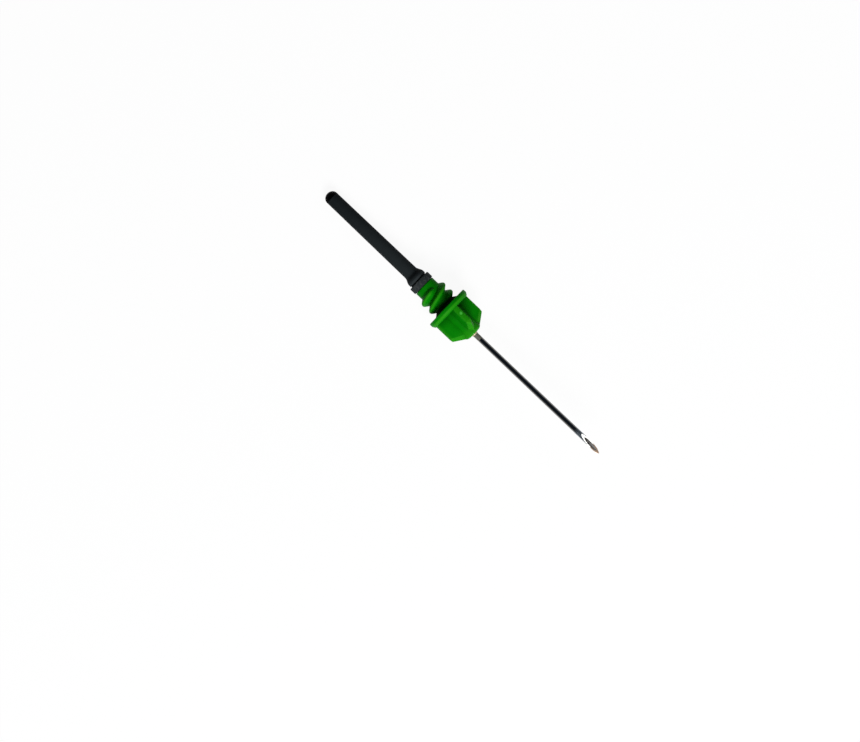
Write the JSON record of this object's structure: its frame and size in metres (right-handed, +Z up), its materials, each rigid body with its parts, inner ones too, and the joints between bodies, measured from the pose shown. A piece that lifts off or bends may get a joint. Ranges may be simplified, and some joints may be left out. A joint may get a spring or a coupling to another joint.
{
  "type": "blood collection needle",
  "caption": "Blood collection needle: a steel cannula with a ground lancet point, held in a green threaded hub with pointed fins, and a black rubber sleeve that closes over its rear point.",
  "frame": {"origin": "centre of the bounding box in plan, on the table that the needle lies on", "axes": "+X towards the patient's end of the cannula, seen from above, +Z up; the needle's axis rises 6.2 degrees towards +X, because it rests on the flange's edge and the sleeve's end"},
  "size_m": [0.0552, 0.0072, 0.0072],
  "materials": {
    "green_plastic": "semi-gloss injection moulding",
    "steel": "drawn stainless tube, bright, with a satin band at the hub",
    "black_rubber": "satin moulded rubber",
    "cured_adhesive": "glossy tan resin"
  },
  "bodies": {
    "root": {"hub": "green_plastic", "cannula": "steel", "rubber_sleeve": "black_rubber", "adhesive": "cured_adhesive"}
  },
  "joints": []
}
